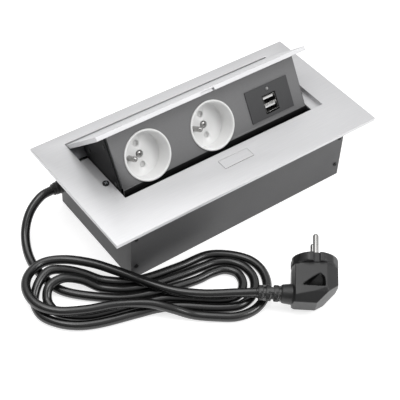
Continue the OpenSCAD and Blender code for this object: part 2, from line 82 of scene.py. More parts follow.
def add_camera():
    """The viewpoint: turned round the part, looking down on it, with a slight roll."""
    azimuth, elevation, roll = math.radians(38.52), math.radians(45.41), math.radians(3.22)
    target, distance = Vector((-0.05307, -0.06225, 0.06732)), 0.85385
    away = Vector(
        (
            -math.sin(azimuth) * math.cos(elevation),
            -math.cos(azimuth) * math.cos(elevation),
            math.sin(elevation),
        )
    )
    level = Vector((math.cos(azimuth), -math.sin(azimuth), 0))
    upward = away.cross(level)
    x = math.cos(roll) * level + math.sin(roll) * upward
    y = -math.sin(roll) * level + math.cos(roll) * upward
    data = bpy.data.cameras.new("camera")
    data.sensor_width = 36
    data.lens = 95.453
    data.clip_start, data.clip_end = 0.01, 20
    camera = bpy.data.objects.new("camera", data)
    bpy.context.scene.collection.objects.link(camera)
    camera.matrix_world = (
        Matrix.Translation(target + away * distance) @ Matrix((x, y, away)).transposed().to_4x4()
    )
    bpy.context.scene.camera = camera


add_camera()


# ---- Materials ----

MATERIALS = {}


def join(tree, *links):
    for a, b in links:
        tree.links.new(a, b)


def finish(
    slot,
    color,
    rough,
    metallic=0.0,
    grain=(1, 1, 1),
    scale=900,
    tone=0.05,
    rough_vary=0.06,
    bump=0.05,
    depth=0.0001,
    smudge=0.05,
    smudge_scale=30,
    specular=0.5,
    coat=0.0,
):
    """A finish with fine grain, slow changes of tone, and roughness that changes with them."""
    made = bpy.data.materials.new(slot)
    made.use_nodes = True
    tree = made.node_tree
    tree.nodes.clear()
    add = tree.nodes.new
    out = add("ShaderNodeOutputMaterial")
    shader = add("ShaderNodeBsdfPrincipled")
    coord = add("ShaderNodeTexCoord")
    turn = add("ShaderNodeMapping")
    turn.inputs["Scale"].default_value = grain
    fine = add("ShaderNodeTexNoise")
    fine.inputs["Scale"].default_value = scale
    fine.inputs["Detail"].default_value = 4
    slow = add("ShaderNodeTexNoise")
    slow.inputs["Scale"].default_value = smudge_scale
    slow.inputs["Detail"].default_value = 5
    ramp = add("ShaderNodeValToRGB")
    ramp.color_ramp.elements[0].position = 0.3
    ramp.color_ramp.elements[1].position = 0.7
    low = [c * (1 - tone) for c in color]
    high = [min(c * (1 + tone), 1) for c in color]
    ramp.color_ramp.elements[0].color = (*low, 1)
    ramp.color_ramp.elements[1].color = (*high, 1)
    shade = add("ShaderNodeMix")
    shade.data_type = "RGBA"
    shade.blend_type = "MULTIPLY"
    darker = add("ShaderNodeValToRGB")
    darker.color_ramp.elements[0].position = 0.35
    darker.color_ramp.elements[1].position = 0.65
    darker.color_ramp.elements[0].color = (1 - smudge,) * 3 + (1,)
    darker.color_ramp.elements[1].color = (1, 1, 1, 1)
    shade.inputs["Factor"].default_value = 1
    spread = add("ShaderNodeMapRange")
    spread.inputs["From Min"].default_value = 0.3
    spread.inputs["From Max"].default_value = 0.7
    spread.inputs["To Min"].default_value = max(rough - rough_vary, 0.02)
    spread.inputs["To Max"].default_value = min(rough + rough_vary, 1)
    relief = add("ShaderNodeBump")
    relief.inputs["Strength"].default_value = bump
    relief.inputs["Distance"].default_value = depth
    shader.inputs["Metallic"].default_value = metallic
    shader.inputs["Specular IOR Level"].default_value = specular
    shader.inputs["Coat Weight"].default_value = coat
    shader.inputs["Coat Roughness"].default_value = 0.25
    join(
        tree,
        (coord.outputs["Object"], turn.inputs["Vector"]),
        (turn.outputs["Vector"], fine.inputs["Vector"]),
        (coord.outputs["Object"], slow.inputs["Vector"]),
        (fine.outputs["Fac"], ramp.inputs["Fac"]),
        (slow.outputs["Fac"], darker.inputs["Fac"]),
        (ramp.outputs["Color"], shade.inputs["A"]),
        (darker.outputs["Color"], shade.inputs["B"]),
        (shade.outputs["Result"], shader.inputs["Base Color"]),
        (slow.outputs["Fac"], spread.inputs["Value"]),
        (spread.outputs["Result"], shader.inputs["Roughness"]),
        (fine.outputs["Fac"], relief.inputs["Height"]),
        (relief.outputs["Normal"], shader.inputs["Normal"]),
        (shader.outputs["BSDF"], out.inputs["Surface"]),
    )
    MATERIALS[slot] = made
    return made


BRUSH = (0.02, 1, 1)
finish("brushed_plate", (0.66, 0.66, 0.67), 0.5, 0.6, BRUSH, 2600, 0.035, 0.05, 0.12, 0.00004, 0.03, 9)
# The lid's finish is darker than the plate's as painted shade, toning down the brighter light on the
# lid's front.
finish("brushed_lid", (0.62, 0.62, 0.63), 0.5, 0.5, BRUSH, 2600, 0.035, 0.05, 0.12, 0.00004, 0.03, 9)
finish("tray_paint", (0.07, 0.07, 0.072), 0.52, 0.0, scale=1900, tone=0.1, bump=0.18, depth=0.00005)
finish("panel_paint", (0.165, 0.165, 0.168), 0.55, 0.0, scale=2300, tone=0.1, bump=0.2, depth=0.00005)
finish(
    "cheek_paint", (0.01, 0.01, 0.0105), 0.5, 0.0,
    scale=1900, tone=0.1, bump=0.18, depth=0.00005, specular=0.22,
)
finish("black_screws", (0.02, 0.02, 0.02), 0.38, 0.3, scale=1500, tone=0.2, bump=0.1)
finish("zinc_steel", (0.55, 0.56, 0.58), 0.34, 0.95, scale=700, tone=0.08, smudge=0.12, smudge_scale=60)
finish("nickel", (0.4, 0.396, 0.388), 0.24, 1.0, scale=1200, tone=0.03, smudge=0.08, smudge_scale=120)
finish("contact_brass", (0.72, 0.5, 0.2), 0.3, 1.0, scale=900, tone=0.06, smudge=0.12)
finish(
    "white_plastic", (0.82, 0.82, 0.815), 0.34, 0.0,
    scale=2600, tone=0.012, bump=0.06, smudge=0.015, coat=0.15,
)
finish("grey_plastic", (0.5, 0.5, 0.5), 0.45, 0.0, scale=2200, tone=0.03, bump=0.1)
finish("shutter_plastic", (0.72, 0.72, 0.715), 0.4, 0.0, scale=2200, tone=0.03, bump=0.1)
finish("usb_plastic", (0.045, 0.045, 0.047), 0.42, 0.0, scale=2600, tone=0.12, bump=0.2, depth=0.00005)
finish("board_green", (0.02, 0.14, 0.06), 0.35, 0.0, scale=800, tone=0.15, bump=0.1)
finish("led_clear", (0.3, 0.3, 0.3), 0.35, 0.0, scale=900, tone=0.03, coat=0.15)
finish("black_nylon", (0.016, 0.016, 0.016), 0.4, 0.0, scale=1900, tone=0.15, bump=0.15, depth=0.00006)
finish(
    "cord_rubber", (0.005, 0.005, 0.005), 0.24, 0.0,
    scale=1500, tone=0.2, bump=0.14, depth=0.00007, smudge=0.2, specular=0.75,
)
finish("plug_rubber", (0.013, 0.013, 0.0135), 0.38, 0.0, scale=1900, tone=0.15, bump=0.25, depth=0.00007)


# ---- Mesh tools ----


def link(name, mesh):
    made = bpy.data.objects.new(name, mesh)
    bpy.context.scene.collection.objects.link(made)
    return made


def from_bmesh(name, bm):
    bmesh.ops.recalc_face_normals(bm, faces=bm.faces)
    mesh = bpy.data.meshes.new(name)
    bm.to_mesh(mesh)
    bm.free()
    return link(name, mesh)


def settle(made):
    """Puts the result of a piece's modifiers into its mesh."""
    done = bpy.data.meshes.new_from_object(
        made.evaluated_get(bpy.context.evaluated_depsgraph_get())
    )
    old = made.data
    made.modifiers.clear()
    made.data = done
    bpy.data.meshes.remove(old)
    return made


def split_sharp(made, angle):
    """Shades a piece smooth, apart from the edges that are sharper than the angle."""
    for face in made.data.polygons:
        face.use_smooth = True
    split = made.modifiers.new("split", "EDGE_SPLIT")
    split.split_angle = math.radians(angle)
    return settle(made)


def soften(made, width, segments=3, angle=35):
    """Rounds the sharp edges of a piece and shades it smooth."""
    for face in made.data.polygons:
        face.use_smooth = True
    if width:
        bevel = made.modifiers.new("edges", "BEVEL")
        bevel.width = width * MM
        bevel.segments = segments
        bevel.limit_method = "ANGLE"
        bevel.angle_limit = math.radians(angle)
        bevel.miter_outer = "MITER_ARC"
    even = made.modifiers.new("shading", "WEIGHTED_NORMAL")
    even.keep_sharp = True
    return settle(made)


def cut(made, tools, kind="DIFFERENCE"):
    """Cuts the tools out of a piece, or adds them to it, then removes the tools."""
    for tool in tools:
        step = made.modifiers.new("cut", "BOOLEAN")
        step.operation = kind
        step.solver = "EXACT"
        step.object = tool
    settle(made)
    for tool in tools:
        bpy.data.objects.remove(tool, do_unlink=True)
    return made


def lathe(name, profile, sides=96, place=Matrix.Identity(4), closed=True):
    """A solid turned about Z from (radius, height) points in mm, then moved by place."""
    bm = bmesh.new()
    rings = []
    for radius, height in profile:
        if radius < 1e-6:
            rings.append([bm.verts.new((0, 0, height * MM))])
            continue
        rings.append(
            [
                bm.verts.new(
                    (
                        radius * MM * math.cos(math.tau * k / sides),
                        radius * MM * math.sin(math.tau * k / sides),
                        height * MM,
                    )
                )
                for k in range(sides)
            ]
        )
    pairs = list(zip(rings, rings[1:] + rings[:1])) if closed else list(zip(rings, rings[1:]))
    for a, b in pairs:
        if len(a) == 1 and len(b) == 1:
            continue
        for k in range(sides):
            n = (k + 1) % sides
            if len(a) == 1:
                bm.faces.new((a[0], b[n], b[k]))
            elif len(b) == 1:
                bm.faces.new((a[k], a[n], b[0]))
            else:
                bm.faces.new((a[k], a[n], b[n], b[k]))
    bm.transform(place)
    return from_bmesh(name, bm)


def rod(name, radius, low, high, at=(0, 0), place=Matrix.Identity(4), sides=48, top=None):
    """A round bar from low to high, in mm, whose top may have another radius."""
    shift = Matrix.Translation(Vector((at[0], at[1], 0)) * MM)
    end = radius if top is None else top
    return lathe(name, [(0, low), (radius, low), (end, high), (0, high)], sides, place @ shift, False)


def block(name, low, high, place=Matrix.Identity(4)):
    bm = bmesh.new()
    bmesh.ops.create_cube(bm, size=1)
    low, high = Vector(low) * MM, Vector(high) * MM
    size = high - low
    bm.transform(
        place @ Matrix.Translation((low + high) / 2) @ Matrix.Diagonal((*size, 1))
    )
    return from_bmesh(name, bm)


def hull(name, points, place=Matrix.Identity(4)):
    bm = bmesh.new()
    for p in points:
        bm.verts.new(Vector(p) * MM)
    bmesh.ops.convex_hull(bm, input=bm.verts)
    bm.transform(place)
    return from_bmesh(name, bm)


def merge(name, parts):
    """One object from several."""
    bm = bmesh.new()
    for part in parts:
        bm.from_mesh(part.data)
        bpy.data.objects.remove(part, do_unlink=True)
    mesh = bpy.data.meshes.new(name)
    bm.to_mesh(mesh)
    bm.free()
    return link(name, mesh)


def dress(made, like, material=None, replaces=None):
    """Gives a piece the body and slot of a CAD node, and a material."""
    slot = SLOT_OF[like]
    made.data.materials.clear()
    made.data.materials.append(material or MATERIALS[slot])
    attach(made, body_of(NODES[like])[0])
    if replaces is not False:
        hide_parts(like)
    return made


def solid_from(node, whole=True):
    """A clean copy of a CAD node's mesh, whose triangles become whole flat faces where asked."""
    bm = bmesh.new()
    bm.from_mesh(NODES[node].data)
    bmesh.ops.remove_doubles(bm, verts=bm.verts, dist=3e-6)
    if whole:
        bmesh.ops.dissolve_limit(
            bm, angle_limit=math.radians(0.4), verts=bm.verts, edges=bm.edges
        )
    return from_bmesh(node + "_finished", bm)


def rounded_top(node, width, above):
    """A clean copy with only those sharp edges rounded that reach above a height."""
    made = solid_from(node, False)
    bm = bmesh.new()
    bm.from_mesh(made.data)
    weight = bm.edges.layers.float.new("bevel_weight_edge")
    for edge in bm.edges:
        sharp = len(edge.link_faces) == 2 and edge.calc_face_angle() > math.radians(35)
        if sharp and max(v.co.z for v in edge.verts) > above:
            edge[weight] = 1
    bm.to_mesh(made.data)
    bm.free()
    for face in made.data.polygons:
        face.use_smooth = True
    bevel = made.modifiers.new("edges", "BEVEL")
    bevel.width = width * MM
    bevel.segments = 3
    bevel.limit_method = "WEIGHT"
    settle(made)
    return dress(split_sharp(made, 50), node)


def rounded(node, width, segments=3, angle=35):
    return dress(soften(solid_from(node), width, segments, angle), node)


def repaint(made, material, wanted):
    """Gives another material to the faces that wanted() picks."""
    made.data.materials.append(material)
    for face in made.data.polygons:
        if wanted(face):
            face.material_index = 1


for name, node in NODES.items():
    node.data.materials.clear()
    node.data.materials.append(MATERIALS[SLOT_OF[name]])


# ---- The cord ----

CORD_R = 3.9
CORD_DROP = [
    (-128, 47, 30), (-138, 46.8, 29.2), (-149, 44, 24.5), (-157.5, 39, 19), (-165, 31, 12),
    (-171, 18, 6), (-174, 3, 3.9),
]
HANK_AT, HANK_TURN = (-98, -82), math.radians(-38.5)
HANK = [
    (-104, 9, 3.9), (-93, -2, 3.9), (-80, -8, 3.9), (-46, -11, 3.9), (-28, -9, 3.9), (-10, -3, 3.9),
    (24, 13, 3.9), (36, 21.5, 3.9), (47, 26, 3.9), (57, 23, 3.9), (62, 12, 3.9), (59, 0, 3.9),
    (49, -6, 3.9), (2, -8, 3.9), (-14, -13, 3.9), (-29, -18.5, 3.9), (-58, -30, 3.9),
    (-73, -31.5, 3.9), (-86, -29, 3.9), (-95, -19.5, 5.5), (-95, -9, 11), (-85, -1, 13),
    (-70, 2, 9), (-54, -1, 4), (-36, -1.5, 3.9), (-18, 3, 3.9), (13, 18.5, 3.9), (27, 27, 3.9),
    (39, 33.5, 3.9), (50, 35, 3.9), (61, 31.5, 3.9), (69.5, 22, 3.9), (72, 10, 3.9), (69, -2, 3.9),
    (60, -11.5, 3.9), (46, -15, 3.9), (10, -16, 3.9), (-6, -19, 3.9), (-22, -25.5, 3.9),
    (-53, -38, 3.9), (-69, -41, 3.9), (-84, -39.5, 3.9), (-98, -33, 3.9), (-106, -18.5, 4),
    (-104, -4, 10), (-97, 6, 13), (-85, 10, 11), (-70, 10, 7.5), (-54, 7.2, 4), (-36, 6.8, 3.9),
    (-20, 11, 3.9), (9, 26.5, 3.9), (35, 42, 3.9), (65, 39.5, 3.9), (77, 29, 3.9), (82, 14, 3.9),
    (80, -2, 3.9), (72, -15, 3.9), (58, -23, 3.9), (40, -24.5, 3.9), (22, -24, 4.5), (5, -23.5, 10),
    (-12, -22, 13), (-38, -24, 12.5), (-62, -31, 12), (-86, -34, 12), (-103, -28, 12.5),
    (-113, -13, 12.5), (-113, 2, 12), (-104, 15, 12), (-88, 20, 12), (-64, 18, 12), (-42, 11, 12),
    (4, -6, 12), (30, -9, 13), (55, -7.8, 14.8),
]
# The plug's frame: X to its right, Y down, Z along its pins, with the origin on its face
PLUG = (
    Matrix.Translation(Vector((9.5, -138.5, 25.2)) * MM)
    @ Matrix.Rotation(math.radians(-38.5), 4, "Z")
    @ Matrix.Rotation(math.radians(-73), 4, "X")
)
# The neck's middle is this far behind the face, and its sleeve ends this far from the plug's middle
NECK_BACK, NECK_END = 31, 47
NECK = Matrix.Translation(Vector((0, 0, -NECK_BACK)) * MM) @ Matrix.Rotation(-math.pi / 2, 4, "Y")
# Half the distance between a plug's pins, and between a socket's live holes
PIN_Y = 9.5


def hank_point(p):
    c, s = math.cos(HANK_TURN), math.sin(HANK_TURN)
    return Vector((HANK_AT[0] + p[0] * c - p[1] * s, HANK_AT[1] + p[0] * s + p[1] * c, p[2])) * MM


def smooth_line(points, steps):
    """Points on a smooth curve through the given points, with steps to each stretch."""
    ends = [2 * points[0] - points[1], *points, 2 * points[-1] - points[-2]]
    line = []
    for a, b, c, d in zip(ends, ends[1:], ends[2:], ends[3:]):
        t1 = math.sqrt((b - a).length)
        t2 = t1 + math.sqrt((c - b).length)
        t3 = t2 + math.sqrt((d - c).length)
        for k in range(steps):
            t = t1 + (t2 - t1) * k / steps
            ab = a.lerp(b, t / t1)
            bc = b.lerp(c, (t - t1) / (t2 - t1))
            cd = c.lerp(d, (t - t2) / (t3 - t2))
            abc = ab.lerp(bc, t / t2)
            bcd = bc.lerp(cd, (t - t1) / (t3 - t1))
            line.append(abc.lerp(bcd, (t - t1) / (t2 - t1)))
    line.append(points[-1].copy())
    return line


def add_cord():
    route = [Vector(p) * MM for p in CORD_DROP] + [hank_point(p) for p in HANK]
    route.append(PLUG @ (Vector((-NECK_END, 0, -NECK_BACK)) * MM))
    line = smooth_line(route, 7)
    for p in line:
        p.z = max(p.z, CORD_R * MM)
    data = bpy.data.curves.new("cord_flex", "CURVE")
    data.dimensions = "3D"
    data.bevel_depth = CORD_R * MM
    data.bevel_resolution = 7
    data.use_fill_caps = True
    spline = data.splines.new("POLY")
    spline.points.add(len(line) - 1)
    for point, p in zip(spline.points, line):
        point.co = (*p, 1)
    spline.use_smooth = True
    flex = link("cord_flex", data)
    dress(flex, "cord")
    length = sum((b - a).length for a, b in zip(line, line[1:]))
    return flex, round(length, 3)


flex, flex_length = add_cord()


# ---- The plug ----


def add_plug():
    """The moulded plug: a round rim with guide grooves, a body with flat faces, and a side neck."""
    outline = [
        (-19, -4), (-16.8, -12.8), (8.5, -16), (18.3, -8.5), (19, 0),
        (18, 8), (8.5, 15.6), (-13, 13), (-19, 5),
    ]
    body = hull(
        "body",
        [(x * k, y * k, z) for x, y in outline for z, k in ((-9, 1), (-28, 1), (-42, 0.97))],
    )
    side = hull(
        "side",
        [(x, y, z) for x, z in [(-20, -41), (1, -41), (20, -23), (20, 0), (-20, 0)] for y in (-20, 20)],
    )
    front = hull(
        "front",
        [
            (x, y, z)
            for y, z in [
                (-17, 0), (-16.4, -28), (-14.5, -33), (-9, -41.5),
                (7, -41.5), (15, -34), (16.4, -13), (16.4, 0),
            ]
            for x in (-21, 21)
        ],
    )
    cut(body, [side, front], "INTERSECT")
    waist = hull("waist", [(x * 0.87, y * 0.87, z) for x, y in outline for z in (-2, -20)])
    scoop = hull(
        "scoop",
        [
            (0.8, -18, -17), (3.6, -18, -16.6), (5.8, -18, -18.5), (7.2, -18, -22), (7.6, -18, -28.6),
            (-13.2, -18, -27.4), (-4, -18, -20.4),
            (2.8, -14.4, -17.6), (5.6, -12, -21), (5.4, -7, -28.4), (-9, -7, -27.4), (-2, -12, -22),
        ],
    )
    rim = lathe(
        "rim",
        [
            (0, -8.2), (18.6, -8.2), (19.3, -7.8), (19.5, -7.2),
            (19.5, -1.4), (19.1, -0.4), (18.2, 0), (0, 0),
        ],
        96, closed=False,
    )
    flats = hull(
        "flats",
        [
            (x, y, z)
            for x, y in [
                (-19.7, -5), (-19.7, 5), (-13, 15), (-7.6, 18.4), (7.6, 18.4), (13, 15),
                (19.7, 5), (19.7, -5), (13, -15), (7.6, -18.4), (-7.6, -18.4), (-13, -15),
            ]
            for z in (-12, 1)
        ],
    )
    cut(rim, [flats], "INTERSECT")
    tools = []
    for s in (-1, 1):
        tools.append(block("groove", (-2.5, min(s * 16, s * 21), -9), (2.5, max(s * 16, s * 21), 1)))
        tools.append(block("clip_seat", (min(s * 17, s * 21), -3, -9), (max(s * 17, s * 21), 3, 1)))
    cut(rim, tools)
    neck = lathe(
        "neck",
        [(0, -2), (9.6, -2), (9.4, 8), (8.9, 16), (8.2, 22), (7.7, 25.6), (7.1, 27), (0, 27)],
        64, NECK, False,
    )
    cut(body, [neck, waist], "UNION")
    cut(body, [rim], "UNION")
    cut(body, [scoop])
    grid = body.modifiers.new("grid", "REMESH")
    grid.mode = "VOXEL"
    grid.voxel_size = 0.42 * MM
    settle(body)
    relax = body.modifiers.new("relax", "SMOOTH")
    relax.factor = 0.5
    relax.iterations = 5
    settle(body)
    slim = body.modifiers.new("slim", "DECIMATE")
    slim.ratio = 0.35
    settle(body)
    body.name = "plug_moulding"
    for face in body.data.polygons:
        face.use_smooth = True
    dress(body, "plug_body")

    def scoop_painted_shade(face):
        x, y, z = face.center / MM
        return -13 < x < 7.6 and -28.8 < z < -16.9 and -14.4 - 0.12 * x < y < -6

    # The scoop's faces get the darker cord rubber as painted shade in the hollow.
    repaint(body, MATERIALS["cord_rubber"], scoop_painted_shade)
    body.data.transform(PLUG)
    return body


def add_pins():
    profile = [
        (0, -12), (2.4, -12), (2.4, 17.2), (2.25, 18), (1.9, 18.7), (1.4, 19), (0, 19),
    ]
    parts = [
        lathe("pin", profile, 48, PLUG @ Matrix.Translation(Vector((0, s * PIN_Y, 0)) * MM), False)
        for s in (-1, 1)
    ]
    return dress(soften(merge("plug_pins_turned", parts), 0), "plug_pins")


def add_plug_clips():
    """The sprung earth strips: each bows outwards a little in its seat."""
    parts = []
    for s in (-1, 1):
        bm = bmesh.new()
        bows = [(-7.8, 0.0), (-6.4, 0.5), (-4.4, 1.1), (-2.4, 0.6), (-0.9, -0.2)]
        rows = []
        for z, out in bows:
            row = []
            for x in (17.2 + out, 16.5 + out):
                for y in (-1.9, 1.9):
                    row.append(bm.verts.new(Vector((s * x, y, z)) * MM))
            rows.append(row)
        for a, b in zip(rows, rows[1:]):
            for i, j in ((0, 1), (1, 3), (3, 2), (2, 0)):
                bm.faces.new((a[i], a[j], b[j], b[i]))
        for row in (rows[0], rows[-1]):
            bm.faces.new((row[0], row[1], row[3], row[2]))
        bm.transform(PLUG)
        parts.append(from_bmesh("clip", bm))
    return dress(soften(merge("plug_clips_bowed", parts), 0.15, 2), "plug_earth_clips")


def add_plug_relief():
    """The ribbed sleeve between the plug and the cord, with webs that join its ribs."""
    start, first_rib, rib_step, ribs = 26.5, 29, 6.2, 3
    profile = [(0, start), (5.2, start)]
    for k in range(ribs):
        low, r = first_rib + rib_step * k, 6.8 - 0.3 * k
        profile += [
            (5.1 - 0.1 * k, low), (r - 0.5, low), (r, low + 0.5),
            (r, low + 3.5), (r - 0.5, low + 4), (5.1 - 0.1 * k, low + 4),
        ]
    profile += [(4.7, 45.6), (4.5, 46.6), (4.2, NECK_END), (0, NECK_END)]
    sleeve = lathe("sleeve", profile, 64, closed=False)
    webs = []
    for k in range(ribs):
        low = start if k == 0 else first_rib + rib_step * k - 2.6
        turn = Matrix.Rotation(math.pi / 2 * (k % 2), 4, "Z")
        for s in (-1, 1):
            webs.append(block("web", (s * 5.4 - 0.9, -1.5, low), (s * 5.4 + 0.9, 1.5, low + 3), turn))
    cut(sleeve, webs, "UNION")
    sleeve.data.transform(PLUG @ NECK)
    sleeve.name = "plug_relief_ribbed"
    return dress(soften(sleeve, 0.25, 2, 40), "plug_strain_relief")


plug = add_plug()
pins = add_pins()
clips = add_plug_clips()
relief = add_plug_relief()


# ---- The gland in the tray's wall ----


def add_gland():
    low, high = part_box("cable_gland")
    wall = -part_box("housing_shell")[0].x / MM
    centre = (low + high) / 2
    place = Matrix.Translation(Vector((0, centre.y, centre.z))) @ Matrix.Rotation(-math.pi / 2, 4, "Y")
    end = -low.x / MM
    profile = [
        (0, wall - 8), (6, wall - 8), (6, wall), (7.6, wall),
        (8, wall + 0.5), (8, wall + 2.4), (7.4, wall + 3),
    ]
    start = wall + 3
    count = 3
    for k in range(count):
        z = start + (end - start - 1.5) * k / count
        step = (end - start - 1.5) / count
        r = 6.4 - 1.4 * k / count
        profile += [
            (r, z + 0.2), (r, z + step * 0.62),
            (r - 0.8, z + step * 0.7), (r - 0.8, z + step * 0.95),
        ]
    profile += [(5, end - 1.4), (5, end - 0.5), (4.5, end), (0, end)]
    return dress(soften(lathe("gland_boot", profile, 64, place, False), 0), "cable_gland")


add_gland()


# ---- Sheet metal and fittings ----

# The direction that the front of the module faces
NORMAL = Vector(MOUNTS["socket_1_upper_hole"]["axis"]).normalized()
SCREW_LOW, SCREW_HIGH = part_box("frame_screws")
SCREW_R = (SCREW_HIGH.y - SCREW_LOW.y) / 2
CROSS_DEPTH = 1.4 * MM


def cross_painted_highlight(face):
    """Whether a face belongs to the cross recess of one of the frame's screws; these faces get bright
    zinc as a painted highlight on the black screws.
    """
    beside = SCREW_HIGH.x - SCREW_R - abs(face.center.x)
    along = face.center.y - (SCREW_LOW.y + SCREW_HIGH.y) / 2
    below = SCREW_HIGH.z - face.center.z
    return math.hypot(beside, along) < 0.62 * SCREW_R and 0.05 * MM < below < CROSS_DEPTH


def bend_painted_shade(face):
    """Whether a face is on the outside of the bend at the foot of the socket panel; these faces get
    near-black paint as painted shade.
    """
    turned_down = face.normal.z < NORMAL.z - 0.1
    return turned_down and face.normal.y < 0 and abs(face.normal.x) < 0.3


def upright(face):
    return abs(face.normal.z) < 0.5


def usb_sides_painted_shadow(face):
    """Whether a face of the USB insert isn't part of its front; these sides get black as a painted
    shadow line round the plate.
    """
    return face.normal.dot(NORMAL) < 0.4


# Node, width of its rounded edges in mm, and steps across them
FITTINGS = [
    ("lid", 0.4, 3),
    ("release_button", 0.25, 3),
    ("latch_keeper", 0.15, 2),
    ("housing_shell", 0.3, 2),
    ("housing_front_panel", 0.35, 2),
    ("housing_rear_panel", 0.35, 2),
    ("hinge_cover", 0.3, 2),
    ("socket_panel", 0.3, 2),
    ("left_cheek", 0.3, 2),
    ("right_cheek", 0.3, 2),
    ("module_back_cover", 0.3, 2),
    ("hinge_bracket_left", 0.3, 2),
    ("hinge_bracket_right", 0.3, 2),
    ("latch_guide", 0.2, 2),
    ("latch_bolt", 0.2, 2),
    ("housing_screws", 0.12, 2),
    ("frame_screws", 0.12, 2),
    ("cheek_screws", 0.1, 2),
    ("hinge_pins", 0.25, 2),
    ("gland_nut", 0.3, 2),
    ("cord_clamp", 0.6, 3),
    ("terminal_block", 0.4, 2),
]
# Node, the other material on it, and the faces that have that material
REPAINTED = {
    "release_button": ("black_nylon", upright),
    # The bend at the socket panel's foot is painted near black as painted shade.
    "socket_panel": ("cheek_paint", bend_painted_shade),
    # The frame screws' cross recesses are painted bright zinc as a painted highlight.
    "frame_screws": ("zinc_steel", cross_painted_highlight),
}

rounded_top("frame_plate", 0.4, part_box("frame_plate")[1].z - 0.1 * MM)
for node, width, steps in FITTINGS:
    made = rounded(node, width, steps)
    if node in REPAINTED:
        other, wanted = REPAINTED[node]
        repaint(made, MATERIALS[other], wanted)


# ---- Sockets ----

# Depth of the holes' mouths below the socket's face
HOLE_DEPTH = 16


def socket_frame(number):
    """X along the panel, Y up it, Z out of it, with the origin in the middle of a socket's face."""
    upper = Vector(MOUNTS[f"socket_{number}_upper_hole"]["pos_m"])
    lower = Vector(MOUNTS[f"socket_{number}_lower_hole"]["pos_m"])
    up = (upper - lower).normalized()
    along = up.cross(NORMAL)
    face = (upper + lower) / 2 + NORMAL * HOLE_DEPTH * MM
    turn = Matrix((along, up, NORMAL)).transposed().to_4x4()
    return Matrix.Translation(face) @ turn


FRAMES = {1: socket_frame(1), 2: socket_frame(2)}


def add_insert(number):
    """A socket's white insert: a rolled rim, a well that narrows, and a floor with its holes."""
    profile = [
        (0, -17), (20.9, -17), (20.9, -0.02), (21.75, 0), (21.9, 0.2), (21.85, 0.75), (21.5, 1.12),
        (21.0, 1.2), (20.5, 1.1), (20.15, 0.7), (20.0, 0.1), (19.75, -1), (18.95, -14.2),
        (18.8, -14.65), (18.5, -14.93), (18.0, -15), (4.4, -15), (4.1, -14.8), (3.6, -14.7),
        (3.4, -14.85), (3.35, -16.6), (0, -16.6),
    ]
    insert = lathe(f"socket_insert_{number}_turned", profile, 128, closed=False)
    tools = []
    for s in (-1, 1):
        tools.append(rod("hole", 2.65, -18, -14, (0, s * PIN_Y)))
        tools.append(rod("chamfer", 2.65, -15.45, -14.85, (0, s * PIN_Y), top=3.3))
    tools.append(rod("earth_hole", 2.42, -18, -14, (-10, 0)))
    cut(insert, tools)
    insert.data.transform(FRAMES[number])
    return dress(split_sharp(insert, 50), f"socket_insert_{number}")


def add_shutter(number):
    """The sliding shutter, with a ramp behind each live hole for a pin to push it by."""
    plate = block("shutter", (-4.2, -12.5, -18.9), (5.2, 12.5, -17.3))
    tools = [block("slot", (-9, -2.4, -20), (3, 2.4, -16))]
    for s in (-1, 1):
        tools.append(
            hull(
                "ramp",
                [
                    (x, s * y, z)
                    for y in (8.3, 10.7)
                    for x, z in ((-2.3, -16.9), (2.3, -16.9), (2.3, -17.3), (-2.3, -18.4))
                ],
            )
        )
    cut(plate, tools)
    plate.data.transform(FRAMES[number])
    plate.name = f"shutter_{number}_ramped"
    return dress(soften(plate, 0.12, 2), f"shutter_{number}")


def add_earth_pins():
    profile = [(0, -27), (2.4, -27), (2.4, -4.6)]
    for k in range(1, 9):
        a = math.pi / 2 * k / 8
        profile.append((2.4 * math.cos(a) if k < 8 else 0, -4.6 + 2.0 * math.sin(a)))
    aside = Matrix.Translation((-0.010, 0, 0))
    parts = [lathe("pin", profile, 64, place @ aside, False) for place in FRAMES.values()]
    return dress(soften(merge("earth_pins_turned", parts), 0), "earth_pins")


def add_centre_screws():
    """Domed screws with a cross recess, each in a round seat in its socket's floor."""
    parts = []
    for number, place in FRAMES.items():
        profile = [
            (0, -27), (1.7, -27), (1.7, -15.95), (2.75, -15.9), (2.8, -15.0), (2.6, -14.5),
            (2.1, -14.15), (1.2, -13.95), (0, -13.9),
        ]
        screw = lathe("screw", profile, 48, closed=False)
        tools = []
        for turn in (0.35, 0.35 + math.pi / 2):
            spin = Matrix.Rotation(turn, 4, "Z")
            tools.append(
                hull(
                    "cross",
                    [
                        (s * x, y, z)
                        for x, z in ((1.7, -13), (0.8, -15.2))
                        for s in (1, -1)
                        for y in (-0.35, 0.35)
                    ],
                    spin,
                )
            )
        cut(screw, tools)
        screw.data.transform(place)
        parts.append(screw)
    made = merge("centre_screws_crossed", parts)
    return dress(split_sharp(made, 40), "centre_screws")


for number in (1, 2):
    add_insert(number)
    add_shutter(number)
add_earth_pins()
add_centre_screws()
rounded("socket_back_1", 0.3, 2)
rounded("socket_back_2", 0.3, 2)


# ---- The USB insert ----

# The middle of the two ports, in the second socket's frame
PORT_AT = (62, -3)
PORTS = FRAMES[2] @ Matrix.Translation(Vector((*PORT_AT, 0)) * MM)
# Half the distance between the middles of the two ports
PORT_ROW = 3.8


